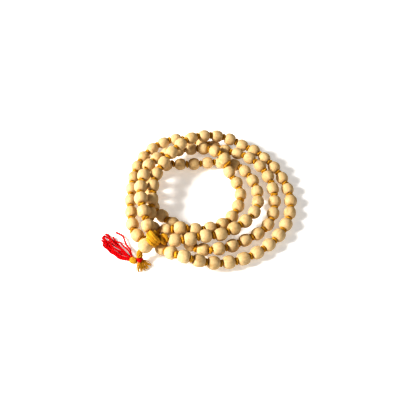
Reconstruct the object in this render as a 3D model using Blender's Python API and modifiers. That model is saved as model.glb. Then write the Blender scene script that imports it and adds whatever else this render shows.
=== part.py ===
"""Mala prayer beads: a closed strand of 108 turned wood beads, knotted one by one on a
yellow cotton cord, with a guru bead, a thread binding and a red tassel.

The strand lies on a table in a pile of four turns. The origin is the middle of the
pile's base, +Z is up, and +X runs along the pile's longer side. Metres throughout.
"""

import math

import bpy
import numpy as np
from mathutils import Matrix, Vector

MM = 0.001

# Driving sizes of the strand
BEAD_COUNT = 108
BEAD_DIAMETER = 0.0084
BEAD_LENGTH = 0.0074
BEAD_END_DIAMETER = 0.0040
BORE_DIAMETER = 0.0023
CORD_DIAMETER = 0.0012
KNOT_DIAMETER = 0.0038
KNOT_GAP = 0.0023  # between the faces of two neighbouring beads
CLEARANCE = 0.0003  # between pieces that touch

# Driving sizes of the guru bead and of what is tied to it
GURU_DIAMETER = 0.0096
GURU_LENGTH = 0.0084
BINDING_DIAMETER = 0.0076
BINDING_LENGTH = 0.0046
BIG_KNOT_DIAMETER = 0.0058
BIG_KNOT_LENGTH = 0.0044
NECK_DIAMETER = 0.0016
TIE_DIAMETER = 0.0032
TASSEL_BINDING_DIAMETER = 0.0036
TAIL_DIAMETER = 0.0016
THREADS_THICKNESS = 0.0022

# Facets round a turned bead, and the bevel resolution of a tube
BEAD_STEPS = 8
TUBE_RESOLUTION = 2

# The strand's route in millimetres: every second bead from bead 1, beside the guru
# bead, round to bead 107, then bead 108. Four turns, counter-clockwise from above.
ROUTE_MM = (
    (-16, -38, 12), (4, -36, 12), (21, -29, 11), (35, -15, 9), (38, 4, 6), (30, 21, 6),
    (13, 29, 4), (-6, 27, 5), (-25, 26, 4), (-33, 10, 4), (-30, -9, 4), (-17, -22, 4),
    (-7, -36, 4), (9, -42, 8), (26, -35, 4), (42, -24, 4), (49, -7, 4), (47, 12, 7),
    (36, 28, 9), (20, 38, 7), (3, 47, 4), (-16, 51, 4), (-33, 43, 4), (-43, 27, 4),
    (-46, 8, 4), (-45, -12, 4), (-40, -30, 5), (-24, -40, 6), (-11, -50, 14), (7, -51, 7),
    (26, -47, 4), (43, -37, 4), (55, -22, 4), (60, -4, 4), (56, 15, 5), (44, 31, 8),
    (29, 42, 8), (11, 46, 13), (-7, 40, 17), (-20, 26, 17), (-29, 10, 15), (-31, -8, 13),
    (-30, -25, 6), (-13, -30, 11), (6, -28, 9), (20, -17, 4), (27, 1, 4), (21, 19, 6),
    (11, 33, 12), (-6, 40, 6), (-22, 32, 11), (-34, 17, 16), (-38, -1, 17), (-35, -20, 17),
    (-32, -29, 14),
)
GURU_MM = (-33.2, -41.0, 10.2)
BINDING_MM = (-28.5, -37.7, 13.0)
BIG_KNOT_MM = (-22.3, -37.8, 12.4)
NECK_MM = ((-36.8, -43.9, 7.1), (-36.9, -44.9, 6.1))
TIE_MM = (-36.9, -46.9, 4.2)
TASSEL_BINDING_MM = ((-38.9, -47.6, 3.3), (-40.8, -47.4, 3.0), (-42.7, -46.4, 2.8))
TAILS_MM = {
    "cord_tail_left": ((-36.8, -48.9, 3.0), (-36.6, -51.2, 2.2), (-36.3, -53.6, 1.4)),
    "cord_tail_right": ((-34.8, -47.9, 2.8), (-33.2, -49.7, 2.0), (-31.3, -51.2, 1.4)),
}
THREADS_OUTLINE_MM = (
    (-43.6, -47.0), (-50.0, -43.5), (-57.5, -38.5), (-62.0, -36.0), (-63.5, -29.0),
    (-58.0, -26.5), (-52.0, -26.0), (-50.0, -31.5), (-46.5, -38.5), (-43.4, -44.6),
)
THREADS_HEIGHT_MM = 1.6

# Beads that are nodes of their own: the outer turn and both sides of the guru bead.
# The rest are joined in short sections of strand, each from its first to its last bead.
LIFTED_LEFT = (104, 108)
LIFTED_RIGHT = (1, 6)
OUTER_TURN = (56, 80)
SECTIONS = (
    (7, 12), (13, 18), (19, 24), (25, 30), (31, 36), (37, 42), (43, 48), (49, 55),
    (81, 86), (87, 92), (93, 98), (99, 103),
)

PITCH = BEAD_LENGTH + KNOT_GAP
BEAD_REACH = max(BEAD_DIAMETER / 2, math.hypot(BEAD_LENGTH, BEAD_END_DIAMETER) / 2)
GURU_REACH = max(GURU_DIAMETER / 2, math.hypot(GURU_LENGTH, BEAD_END_DIAMETER) / 2)
SPACING = 2 * BEAD_REACH + CLEARANCE  # least distance between beads of two turns
# A knot leaves room for the tilt of the faces beside it, and one that a lifted stretch
# bends at is small enough to turn between them.
KNOT_HALF = KNOT_GAP / 2 - 2 * CLEARANCE
BENDING_KNOT_RADIUS = KNOT_GAP / 2 - CLEARANCE
MOST_EVEN_TILT = math.radians(10)  # up to this bend, a knot keeps its full size
# Along a bead, from face to face: where its profile has a corner
BEAD_CORNERS = (-1.0, -0.65, 0.0, 0.65, 1.0)

COLOURS = {
    "bead_wood": ((0.78, 0.60, 0.36, 1.0), 0.55),
    "cord_cotton": ((0.82, 0.42, 0.05, 1.0), 0.85),
    "tassel_red": ((0.80, 0.01, 0.03, 1.0), 0.80),
}


def clear_scene():
    for obj in list(bpy.data.objects):
        bpy.data.objects.remove(obj, do_unlink=True)


def make_collection(name):
    collection = bpy.data.collections.new(name)
    bpy.context.scene.collection.children.link(collection)
    return collection


def make_material(name, finish):
    """One sub-part's own Principled material."""
    colour, roughness = COLOURS[finish]
    material = bpy.data.materials.new(name)
    material.use_nodes = True
    shader = material.node_tree.nodes["Principled BSDF"]
    shader.inputs["Base Color"].default_value = colour
    shader.inputs["Roughness"].default_value = roughness
    shader.inputs["Metallic"].default_value = 0.0
    return material


# ---------------------------------------------------------------- where the beads lie


def catmull_rom(points, samples):
    """A smooth open curve through the points, as many samples to each span."""
    ends = np.vstack((2 * points[0] - points[1], points, 2 * points[-1] - points[-2]))
    curve = []
    for before, start, end, after in zip(ends, ends[1:], ends[2:], ends[3:]):
        for t in np.arange(samples) / samples:
            curve.append(
                0.5
                * (
                    2 * start
                    + (end - before) * t
                    + (2 * before - 5 * start + 4 * end - after) * t**2
                    + (3 * start - before - 3 * end + after) * t**3
                )
            )
    curve.append(points[-1])
    return np.array(curve)


def along(curve, count):
    """The curve's length, and that many points spaced evenly along it."""
    steps = np.linalg.norm(np.diff(curve, axis=0), axis=1)
    reached = np.concatenate(([0.0], np.cumsum(steps)))
    places = np.linspace(0.0, reached[-1], count)
    spaced = np.stack([np.interp(places, reached, axis) for axis in curve.T], axis=1)
    return reached[-1], spaced


def keep_pitch(beads):
    """Moves neighbours on the cord to one pitch apart."""
    for first in (0, 1):
        near, far = beads[first:-1:2], beads[first + 1 :: 2]
        step = far - near
        length = np.linalg.norm(step, axis=1, keepdims=True)
        move = step * (length - PITCH) / length / 2
        near += move
        far -= move


def keep_apart(beads, fixed):
    """Moves beads of different turns apart, and clear of the fixed lumps."""
    distance = np.linalg.norm(beads[:, None] - beads[None], axis=2)
    for i, j in np.argwhere(np.triu(distance < SPACING, 2)):
        step = beads[i] - beads[j]
        length = np.linalg.norm(step)
        move = step * max(SPACING - length, 0.0) / length / 2
        beads[i] += move
        beads[j] -= move
    for centre, reach in fixed:
        room = BEAD_REACH + reach + CLEARANCE
        for bead in beads[1:-1]:
            step = bead - centre
            length = np.linalg.norm(step)
            if length < room:
                bead += step * (room - length) / length


def beyond(start, place, distance):
    """The point at that distance from the start, in the direction of the place."""
    return start + (place - start) * distance / np.linalg.norm(place - start)


def lay_strand():
    """The settled bead centres, and the guru bead, its binding and the big knot."""
    length, beads = along(catmull_rom(np.array(ROUTE_MM, float) * MM, 12), BEAD_COUNT)
    scale = PITCH * (BEAD_COUNT - 1) / length
    beads = beads * scale
    guru, binding, knot = np.array((GURU_MM, BINDING_MM, BIG_KNOT_MM)) * MM * scale
    binding = beyond(guru, binding, (GURU_LENGTH + BINDING_LENGTH) / 2 + CLEARANCE)
    knot = beyond(binding, knot, (BINDING_DIAMETER + BIG_KNOT_LENGTH) / 2 + CLEARANCE)
    fixed = (
        (guru, GURU_REACH),
        (binding, BINDING_DIAMETER / 2),
        (knot, BIG_KNOT_DIAMETER / 2),
    )
    for _ in range(500):
        keep_pitch(beads)
        keep_apart(beads, fixed)
        beads[:, 2] = np.maximum(beads[:, 2], BEAD_REACH)
        beads[0] = beyond(knot, beads[0], BIG_KNOT_LENGTH / 2 + BEAD_REACH + 2 * CLEARANCE)
    lumps = [Vector(centre) for centre, _ in fixed]
    return [Vector(bead) for bead in beads], lumps, scale


def bead_axes(beads, before_first, after_last):
    """Each bead's direction along the cord, from what is on the cord on each side."""
    line = [before_first, *beads, after_last]
    return [(after - before).normalized() for before, after in zip(line, line[2:])]


# ---------------------------------------------------------------- shapes


def profile_radius(t, widest, end):
    """A turned bead's radius at t, from -1 at one face to +1 at the other."""
    return end + (widest - end) * (1 - t * t) ** 0.75


def turned_bead(name, diameter, length, finish="bead_wood"):
    """A bored bead's mesh about local Z, turned from its profile by a Screw modifier."""
    bore, end = BORE_DIAMETER / 2, BEAD_END_DIAMETER / 2
    outside = [
        (profile_radius(t, diameter / 2, end), t * length / 2) for t in BEAD_CORNERS[::-1]
    ]
    points = [(bore, length / 2), *outside, (bore, -length / 2)]
    mesh = bpy.data.meshes.new(name)
    edges = [(i, (i + 1) % len(points)) for i in range(len(points))]
    mesh.from_pydata([(radius, 0.0, height) for radius, height in points], edges, [])
    mesh.materials.append(make_material(name, finish))
    return mesh


def add_bead(collection, parent, name, mesh, centre, axis):
    bead = bpy.data.objects.new(name, mesh)
    collection.objects.link(bead)
    bead.location = centre
    bead.rotation_mode = "QUATERNION"
    bead.rotation_quaternion = Vector((0, 0, 1)).rotation_difference(axis)
    screw = bead.modifiers.new("turn", "SCREW")
    screw.steps = screw.render_steps = BEAD_STEPS
    screw.use_merge_vertices = True
    screw.merge_threshold = 0.00001
    screw.use_smooth_shade = True
    fasten(bead, parent)
    return bead


def add_tube(collection, parent, name, stations, finish):
    """A tube through (point, radius) stations, closed at both ends."""
    curve = bpy.data.curves.new(name, "CURVE")
    curve.dimensions = "3D"
    curve.bevel_depth = MM
    curve.bevel_resolution = TUBE_RESOLUTION
    curve.use_fill_caps = True
    spline = curve.splines.new("POLY")
    spline.points.add(len(stations) - 1)
    for point, (place, radius) in zip(spline.points, stations):
        point.co = (*place, 1.0)
        point.radius = radius / MM
    curve.materials.append(make_material(name, finish))
    tube = bpy.data.objects.new(name, curve)
    collection.objects.link(tube)
    fasten(tube, parent)
    return tube


def add_threads(collection, parent, scale):
    """The tassel's loose threads as one flat solid: their outline and thickness."""
    curve = bpy.data.curves.new("tassel_threads", "CURVE")
    curve.dimensions = "2D"
    curve.fill_mode = "BOTH"
    curve.extrude = THREADS_THICKNESS / 2
    spline = curve.splines.new("POLY")
    spline.points.add(len(THREADS_OUTLINE_MM) - 1)
    for point, (x, y) in zip(spline.points, THREADS_OUTLINE_MM):
        point.co = (x * MM * scale, y * MM * scale, 0.0, 1.0)
    spline.use_cyclic_u = True
    curve.materials.append(make_material("tassel_threads", "tassel_red"))
    threads = bpy.data.objects.new("tassel_threads", curve)
    collection.objects.link(threads)
    threads.location.z = THREADS_HEIGHT_MM * MM
    fasten(threads, parent)


def fasten(obj, parent):
    """Parents an object placed in the pile's own coordinates."""
    obj.parent = parent
    if parent.parent:
        obj.matrix_parent_inverse = Matrix.Translation(-parent.location)


def add_pivot(collection, name, parent, place):
    """An empty on a joint's axis, for the pieces that turn about it."""
    pivot = bpy.data.objects.new(name, None)
    collection.objects.link(pivot)
    pivot.location = place
    pivot.empty_display_size = 5 * MM
    if parent:
        fasten(pivot, parent)
    return pivot


# ---------------------------------------------------------------- cord and knots


def bead_stations(centre, axis):
    """A joined bead as part of a tube: its profile along its axis."""
    half = BEAD_LENGTH / 2
    end = BEAD_END_DIAMETER / 2
    return [
        (centre + axis * t * half, profile_radius(t, BEAD_DIAMETER / 2, end))
        for t in BEAD_CORNERS
    ]


def bore_stations(centre, axis):
    """The cord where it runs straight through a bead's bore."""
    half = BEAD_LENGTH / 2
    return [(centre + axis * t * half, CORD_DIAMETER / 2) for t in (-1, 1)]


def lump_stations(centre, axis, half, radius):
    """A knot or a wound lump: narrow at both ends, widest in the middle."""
    shape = ((-1.0, 0.6), (-0.5, 0.93), (0.5, 0.93), (1.0, 0.6))
    return [(centre + axis * t * half, radius * wide) for t, wide in shape]


class Strand:
    """The settled strand: bead centres and directions, and the knots between them."""

    def __init__(self):
        self.centres, lumps, self.scale = lay_strand()
        self.guru, self.binding, self.big_knot = lumps
        self.axes = bead_axes(self.centres, self.big_knot, self.binding)

    def bead(self, number):
        return self.centres[number - 1], self.axes[number - 1]

    def face(self, number, side):
        centre, axis = self.bead(number)
        return centre + axis * side * BEAD_LENGTH / 2

    def knot(self, number):
        """The knot after a bead: its centre and direction, from the two faces."""
        start, end = self.face(number, 1), self.face(number + 1, -1)
        return (start + end) / 2, (end - start).normalized()

    def knot_stations(self, number, radius=KNOT_DIAMETER / 2):
        """The knot after a bead, drawn tighter where the strand bends."""
        centre, axis = self.knot(number)
        tilt = max(axis.angle(self.bead(n)[1]) for n in (number, number + 1))
        reach = (self.face(number + 1, -1) - centre).length - CLEARANCE
        limit = (reach - KNOT_HALF / 2) / math.tan(max(tilt, MOST_EVEN_TILT))
        return lump_stations(centre, axis, KNOT_HALF, min(radius, limit))

    def section_stations(self, first, last, last_knot_radius):
        """Joined beads, each with the knot that follows it."""
        stations = []
        for number in range(first, last + 1):
            stations += bead_stations(*self.bead(number))
            if number < last:
                stations.append((self.knot(number)[0], KNOT_DIAMETER / 2))
        return stations + self.knot_stations(last, last_knot_radius)

    def cord_stations(self, first, last, last_knot_radius):
        """The cord through single beads, with the knot that follows each."""
        stations = []
        for number in range(first, last + 1):
            stations += bore_stations(*self.bead(number))
            if number < last:
                stations += self.knot_stations(number)
            elif last_knot_radius:
                stations += self.knot_stations(number, last_knot_radius)
        return stations


# ---------------------------------------------------------------- assembly


def add_loose_beads(collection, parent, strand, mesh, first, last):
    for number in range(first, last + 1):
        add_bead(collection, parent, f"bead_{number:03d}", mesh, *strand.bead(number))


def add_pile(collection, parent, strand, mesh):
    """Everything that stays down: the joined sections and the outer turn."""
    for order, (first, last) in enumerate(SECTIONS, 1):
        bends = last + 1 == LIFTED_LEFT[0]
        radius = BENDING_KNOT_RADIUS if bends else KNOT_DIAMETER / 2
        stations = strand.section_stations(first, last, radius)
        add_tube(collection, parent, f"strand_section_{order:02d}", stations, "bead_wood")
    add_loose_beads(collection, parent, strand, mesh, *OUTER_TURN)
    stations = strand.cord_stations(*OUTER_TURN, KNOT_DIAMETER / 2)
    add_tube(collection, parent, "outer_turn_cord", stations, "cord_cotton")


def add_lifted_stretch(collection, parent, strand, mesh):
    """The stretch that lifts: the beads and cord on both sides of the guru bead."""
    for first, last in (LIFTED_LEFT, LIFTED_RIGHT):
        add_loose_beads(collection, parent, strand, mesh, first, last)
    stations = strand.cord_stations(*LIFTED_LEFT, None)
    mouth = strand.face(LIFTED_LEFT[1], 1) + strand.bead(LIFTED_LEFT[1])[1] * CORD_DIAMETER
    to_binding = (strand.binding - mouth).normalized()
    end = strand.binding - to_binding * (BINDING_DIAMETER / 2 + 2 * CLEARANCE)
    stations += [(mouth, CORD_DIAMETER / 2), (end, CORD_DIAMETER / 2)]
    add_tube(collection, parent, "guru_cord_left", stations, "cord_cotton")

    to_bead = (strand.face(1, -1) - strand.big_knot).normalized()
    knot = lump_stations(
        strand.big_knot, to_bead, BIG_KNOT_LENGTH / 2, BIG_KNOT_DIAMETER / 2
    )
    add_tube(
        collection, parent, "guru_cord_right",
        knot + strand.cord_stations(*LIFTED_RIGHT, BENDING_KNOT_RADIUS), "cord_cotton",
    )


def add_guru(collection, parent, strand):
    """The guru bead, the thread bound round the cords above it, and the neck below."""
    axis = (strand.guru - strand.binding).normalized()
    mesh = turned_bead("guru_bead", GURU_DIAMETER, GURU_LENGTH)
    add_bead(collection, parent, "guru_bead", mesh, strand.guru, axis)
    lump = lump_stations(strand.binding, axis, BINDING_LENGTH / 2, BINDING_DIAMETER / 2)
    add_tube(collection, parent, "guru_binding", lump, "cord_cotton")
    half = GURU_LENGTH / 2
    neck = [(strand.guru + axis * t * half, NECK_DIAMETER / 2) for t in (-1, 1)]
    neck += [(Vector(p) * MM * strand.scale, NECK_DIAMETER / 2) for p in NECK_MM]
    add_tube(collection, parent, "tassel_neck", neck, "cord_cotton")


def add_tassel(collection, parent, strand):
    """The red tie, the wound head of the tassel, its threads and two cord ends."""
    tie = Vector(TIE_MM) * MM * strand.scale
    swing = add_pivot(collection, "tassel_axis", parent, tie)
    down = Vector((0, 0, 1))
    stations = lump_stations(tie, down, TIE_DIAMETER / 2, TIE_DIAMETER / 2)
    add_tube(collection, swing, "red_tie", stations, "tassel_red")
    places = [Vector(p) * MM * strand.scale for p in TASSEL_BINDING_MM]
    radii = [TASSEL_BINDING_DIAMETER / 2 * wide for wide in (0.6, 1.0, 0.8)]
    add_tube(collection, swing, "tassel_binding", list(zip(places, radii)), "cord_cotton")
    for name, points in TAILS_MM.items():
        radii = [TAIL_DIAMETER / 2 * wide for wide in (0.7, 1.0, 1.3)]
        places = [Vector(p) * MM * strand.scale for p in points]
        add_tube(collection, swing, name, list(zip(places, radii)), "cord_cotton")
    add_threads(collection, swing, strand.scale)


def stand_on_origin(pile, loose):
    """Moves the pile so that the origin is the middle of its base, loose ends aside."""
    bpy.context.view_layer.update()
    graph = bpy.context.evaluated_depsgraph_get()
    corners = []
    for obj in bpy.data.objects:
        if obj.type != "EMPTY" and obj.name not in loose:
            shape = obj.evaluated_get(graph)
            mesh = shape.to_mesh()
            corners += [shape.matrix_world @ vertex.co for vertex in mesh.vertices]
            shape.to_mesh_clear()
    corners = np.array(corners)
    low, high = corners.min(axis=0), corners.max(axis=0)
    pile.location = (-(low[0] + high[0]) / 2, -(low[1] + high[1]) / 2, -low[2])


def main():
    clear_scene()
    collection = make_collection("mala")
    strand = Strand()
    mesh = turned_bead("bead", BEAD_DIAMETER, BEAD_LENGTH)
    pile = add_pivot(collection, "mala_base", None, (0, 0, 0))
    add_pile(collection, pile, strand, mesh)
    lift = add_pivot(collection, "lift_axis", pile, strand.knot(LIFTED_RIGHT[1])[0])
    add_lifted_stretch(collection, lift, strand, mesh)
    add_guru(collection, lift, strand)
    add_tassel(collection, lift, strand)
    stand_on_origin(pile, {"tassel_threads", *TAILS_MM})


main()
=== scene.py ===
"""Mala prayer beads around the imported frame: 108 turned wood beads, each held by a knot
on a yellow cotton cord, with a guru bead, its bound wrap, a red tie and a red tassel.

Metres throughout, +Z up. The beads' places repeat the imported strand's route, settled in
the same way and moved to where the frame has them.
"""

import math

import bpy
import numpy as np
from mathutils import Matrix, Vector


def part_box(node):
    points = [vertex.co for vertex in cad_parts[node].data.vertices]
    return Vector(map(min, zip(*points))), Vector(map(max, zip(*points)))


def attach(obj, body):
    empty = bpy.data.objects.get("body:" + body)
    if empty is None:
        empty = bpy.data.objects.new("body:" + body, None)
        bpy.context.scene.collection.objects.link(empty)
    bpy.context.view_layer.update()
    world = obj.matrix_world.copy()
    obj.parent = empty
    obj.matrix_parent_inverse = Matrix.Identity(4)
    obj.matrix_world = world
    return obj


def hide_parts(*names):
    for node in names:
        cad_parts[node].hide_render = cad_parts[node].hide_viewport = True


bl_info = {
    "name": "Mala Prayer Beads",
    "version": (1, 0, 0),
    "blender": (4, 5, 0),
    "location": "View3D > Sidebar > Mala",
    "description": "Knotted wood prayer beads with a guru bead and a tassel",
    "category": "Add Mesh",
}

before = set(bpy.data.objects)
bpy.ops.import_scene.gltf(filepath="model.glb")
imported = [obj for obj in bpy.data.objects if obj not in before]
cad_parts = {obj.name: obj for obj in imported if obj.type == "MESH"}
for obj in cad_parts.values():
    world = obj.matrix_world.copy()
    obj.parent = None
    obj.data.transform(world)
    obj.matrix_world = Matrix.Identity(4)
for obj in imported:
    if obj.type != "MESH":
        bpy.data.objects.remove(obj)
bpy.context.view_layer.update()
MM = 0.001

# The strand, as it is packed
BEAD_COUNT = 108
BEAD_DIAMETER = 0.0084
BEAD_LENGTH = 0.0074
BEAD_END_DIAMETER = 0.0040
BORE_DIAMETER = 0.0023
CORD_DIAMETER = 0.0012
KNOT_GAP = 0.0023
CLEARANCE = 0.0003
GURU_DIAMETER = 0.0096
GURU_LENGTH = 0.0084
BINDING_DIAMETER = 0.0076
BINDING_LENGTH = 0.0046
BIG_KNOT_DIAMETER = 0.0058
BIG_KNOT_LENGTH = 0.0044

# One turn of the plies in the yellow cord, in the soft cord and in the red tie
CORD_PITCH = 2.4 * MM
SOFT_PITCH = 9.0 * MM
RED_PITCH = 1.8 * MM

# Every second bead from bead 1 to bead 107, then bead 108
ROUTE_MM = (
    (-16, -38, 12), (4, -36, 12), (21, -29, 11), (35, -15, 9), (38, 4, 6), (30, 21, 6),
    (13, 29, 4), (-6, 27, 5), (-25, 26, 4), (-33, 10, 4), (-30, -9, 4), (-17, -22, 4),
    (-7, -36, 4), (9, -42, 8), (26, -35, 4), (42, -24, 4), (49, -7, 4), (47, 12, 7),
    (36, 28, 9), (20, 38, 7), (3, 47, 4), (-16, 51, 4), (-33, 43, 4), (-43, 27, 4),
    (-46, 8, 4), (-45, -12, 4), (-40, -30, 5), (-24, -40, 6), (-11, -50, 14), (7, -51, 7),
    (26, -47, 4), (43, -37, 4), (55, -22, 4), (60, -4, 4), (56, 15, 5), (44, 31, 8),
    (29, 42, 8), (11, 46, 13), (-7, 40, 17), (-20, 26, 17), (-29, 10, 15), (-31, -8, 13),
    (-30, -25, 6), (-13, -30, 11), (6, -28, 9), (20, -17, 4), (27, 1, 4), (21, 19, 6),
    (11, 33, 12), (-6, 40, 6), (-22, 32, 11), (-34, 17, 16), (-38, -1, 17), (-35, -20, 17),
    (-32, -29, 14),
)
GURU_MM = (-33.2, -41.0, 10.2)
BINDING_MM = (-28.5, -37.7, 13.0)
BIG_KNOT_MM = (-22.3, -37.8, 12.4)
NECK_MM = ((-36.8, -43.9, 7.1), (-36.9, -44.9, 6.1))
TIE_MM = (-36.9, -46.9, 4.2)
TASSEL_BINDING_MM = ((-38.9, -47.6, 3.3), (-40.8, -47.4, 3.0), (-42.7, -46.4, 2.8))
TAILS_MM = {
    "cord_tail_left": ((-36.8, -48.9, 3.0), (-36.6, -51.2, 2.2), (-36.3, -53.6, 1.4)),
    "cord_tail_right": ((-34.8, -47.9, 2.8), (-33.2, -49.7, 2.0), (-31.3, -51.2, 1.4)),
}

# The tassel's yarns, from its binding to their tips
YARNS_MM = (
    ((-43.0, -45.0, 2.0), (-48.5, -41.5, 0.8), (-53.0, -38.5, 0.6), (-56.5, -35.0, 0.6),
     (-58.0, -32.0, 0.6)),
    ((-42.5, -45.0, 2.2), (-48.0, -39.5, 1.1), (-53.0, -34.0, 0.6), (-57.5, -29.5, 0.6),
     (-60.5, -27.0, 0.6)),
    ((-42.0, -44.0, 2.8), (-43.5, -40.0, 2.4), (-45.5, -36.5, 2.0), (-47.5, -32.5, 1.4),
     (-50.0, -28.5, 0.9), (-54.0, -25.5, 0.6)),
    ((-42.0, -44.5, 3.0), (-46.0, -38.5, 2.4), (-49.5, -35.0, 1.8), (-52.5, -33.0, 1.2),
     (-55.5, -29.5, 0.6)),
    ((-42.5, -45.5, 3.3), (-47.5, -40.5, 2.9), (-52.5, -36.0, 2.2), (-57.0, -30.5, 1.3),
     (-61.0, -27.5, 0.7)),
    ((-43.0, -45.5, 2.8), (-48.0, -40.5, 2.0), (-53.5, -36.0, 1.3), (-58.0, -31.0, 0.7),
     (-61.5, -28.0, 0.6)),
    ((-42.5, -46.0, 3.2), (-49.0, -41.0, 2.7), (-54.5, -37.5, 2.0), (-58.5, -33.0, 1.2),
     (-62.0, -29.0, 0.7)),
    ((-43.0, -45.5, 2.5), (-49.5, -41.0, 1.5), (-55.0, -37.5, 0.9), (-59.0, -33.5, 0.6),
     (-62.5, -29.5, 0.6)),
    ((-43.0, -46.5, 2.9), (-49.5, -43.0, 2.2), (-55.0, -39.0, 1.4), (-59.0, -34.5, 0.8),
     (-62.0, -30.5, 0.6)),
    ((-43.0, -46.0, 2.3), (-50.0, -43.0, 1.3), (-56.0, -39.0, 0.7), (-59.5, -35.0, 0.6),
     (-62.5, -31.5, 0.6)),
    ((-43.0, -47.0, 2.6), (-49.0, -44.5, 1.7), (-54.0, -41.0, 1.0), (-57.0, -38.5, 0.6),
     (-59.5, -36.0, 0.6), (-62.0, -32.0, 0.6)),
    ((-42.5, -47.0, 2.2), (-49.0, -45.0, 1.2), (-53.0, -42.5, 0.6), (-56.5, -39.5, 0.6),
     (-59.0, -37.5, 0.6), (-61.5, -34.0, 0.6)),
)

# The two knots that the lifted stretch bends at are drawn tighter than the others
BENDING_KNOTS = (6, 103)
BENDING_SHARE = 0.6

# The first and last bead of each run: the two that lift beside the guru bead, the
# outermost turn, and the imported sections
LIFTED_LEFT = (104, 108)
LIFTED_RIGHT = (1, 6)
OUTER_TURN = (56, 80)
SECTIONS = (
    (7, 12), (13, 18), (19, 24), (25, 30), (31, 36), (37, 42), (43, 48), (49, 55),
    (81, 86), (87, 92), (93, 98), (99, 103),
)

PITCH = BEAD_LENGTH + KNOT_GAP
BEAD_REACH = max(BEAD_DIAMETER / 2, math.hypot(BEAD_LENGTH, BEAD_END_DIAMETER) / 2)
GURU_REACH = max(GURU_DIAMETER / 2, math.hypot(GURU_LENGTH, BEAD_END_DIAMETER) / 2)
SPACING = 2 * BEAD_REACH + CLEARANCE

# The largest beads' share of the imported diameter: on the stretch that is lifted by the
# guru bead, and in the rest of the pile
LARGEST_LIFTED = 1.08
LARGEST_LAID = 1.04

# How far from the bore the wood is darkened: the cord's stain together with painted shade on the
# bead's ends beside the knots
STAIN_AND_SHADE_WIDTH = 1.25 * MM

# The length of one twist of a tassel yarn, how far the yarn waves from its line, and the
# lowest that its middle lies
YARN_TWIST = 0.0034
YARN_WAVE = 0.0003
YARN_LOWEST = 0.0006

# The tassel's head: its radius from end to end, the turns of thread and the core's radius
HEAD_RADII_MM = (1.5, 1.95, 2.1, 1.95, 1.6)
HEAD_TURNS = 8.5
HEAD_CORE = 1.3 * MM

# The red tie: the height and radius of each round, half the yarn's thickness, where its
# knot sits, its core, and how far above its middle the cords come in
TIE_ROUNDS_MM = ((-0.8, 1.3), (0.0, 1.45), (0.8, 1.3))
TIE_YARN = 0.48 * MM
TIE_KNOT_YARN = 0.36 * MM
TIE_KNOT_MM = (0.1, -1.75, 0.1)
TIE_CORE_RADIUS = 1.1 * MM
TIE_HALF_HEIGHT = 1.3 * MM
TIE_MOUTH = 1.2 * MM

# The frayed ends: fibres in each, their radius at the root and the tip, and the lowest
# that their middles lie
FRAYED_FIBRES = 26
FRAYED_RADII_MM = (0.32, 0.15)
FRAYED_LOWEST = 0.25 * MM

# The wrap's two windings of soft cord: lean from the axis, radius, turns, rise in a turn,
# start angle and thickness; then the wrap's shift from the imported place, and its core
WRAP_WINDINGS_MM = ((0.0, 3.9, 2.9, 1.9, 0.6, 2.7), (0.45, 4.2, 1.2, 0.6, 2.2, 2.0))
WRAP_SHIFT = 0.2 * MM
WRAP_CORE_RADIUS = 2.4 * MM
WRAP_CORE_HALF = 2.3 * MM

# The big knot's ring, how far it swings in and out, its rise and its cord's thickness
BIG_KNOT_RING = (1.45 * MM, 1.05 * MM, 1.75 * MM)
BIG_KNOT_CORD = 2.4 * MM

# The neck's cords: how many, one turn of them, half the thickness of each, how deep they
# start in the bore, and how far they stand from the neck's middle along its length
NECK_CORDS = 6
NECK_PITCH = 16.0 * MM
NECK_CORD_RADIUS = 0.52 * MM
NECK_START = 1.5 * MM
NECK_SPREAD_MM = ((0, 0.35, 0.8, 1), (0.5, 0.95, 1.6, 1.0))

# The camera: the point that it looks at is the route's own zero
VIEW_ELEVATION = math.radians(55)
VIEW_DISTANCE = 0.324
LENS = 43.2
SENSOR = 36.0

# The floor's half side and its height, which is that of the lowest bead
FLOOR_HALF = 8.0
FLOOR_HEIGHT = -0.12 * MM

# The lamps: name, place, size, power in watts and colour
LAMPS = (
    ("window", (-0.62, -0.10, 0.46), 0.20, 7.1, (1.0, 0.985, 0.95)),
    ("fill", (0.35, -0.55, 0.65), 0.60, 1.0, (0.96, 0.98, 1.0)),
)
ROOM_COLOUR = (1.0, 0.93, 0.82, 1.0)
ROOM_STRENGTH = 0.22
WHITE = (1.0, 1.0, 1.0, 1.0)


# ---------------------------------------------------------------- sizes and colours


class MalaSizes(bpy.types.PropertyGroup):
    """Sizes of the loose, wound and hand-made parts."""

    bead_variation: bpy.props.FloatProperty(
        name="Bead variation", description="How far one bead's diameter is from the next",
        default=0.07, min=0.0, max=0.08, subtype="FACTOR",
    )
    bead_flats: bpy.props.FloatProperty(
        name="Bead flats", description="How strongly the hand-cut flats show on a bead",
        default=0.5, min=0.0, max=1.0, subtype="FACTOR",
    )
    knot_diameter: bpy.props.FloatProperty(
        name="Knot diameter", description="Outer diameter of the knot between two beads",
        default=0.0050, min=0.003, max=0.0056, unit="LENGTH", subtype="DISTANCE",
    )
    knot_cord: bpy.props.FloatProperty(
        name="Knot cord", description="Thickness of the soft cord where it is knotted",
        default=0.0015, min=0.0008, max=0.002, unit="LENGTH", subtype="DISTANCE",
    )
    yarn_diameter: bpy.props.FloatProperty(
        name="Tassel yarn", description="Diameter of one two-ply yarn of the tassel",
        default=0.00105, min=0.0005, max=0.0015, unit="LENGTH", subtype="DISTANCE",
    )
    winding_thread: bpy.props.FloatProperty(
        name="Winding thread", description="Thickness of the thread wound on the tassel",
        default=0.0009, min=0.0004, max=0.0015, unit="LENGTH", subtype="DISTANCE",
    )


def colour_property(name, description, default):
    return bpy.props.FloatVectorProperty(
        name=name, description=description, default=default,
        size=4, min=0.0, max=1.0, subtype="COLOR",
    )


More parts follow.
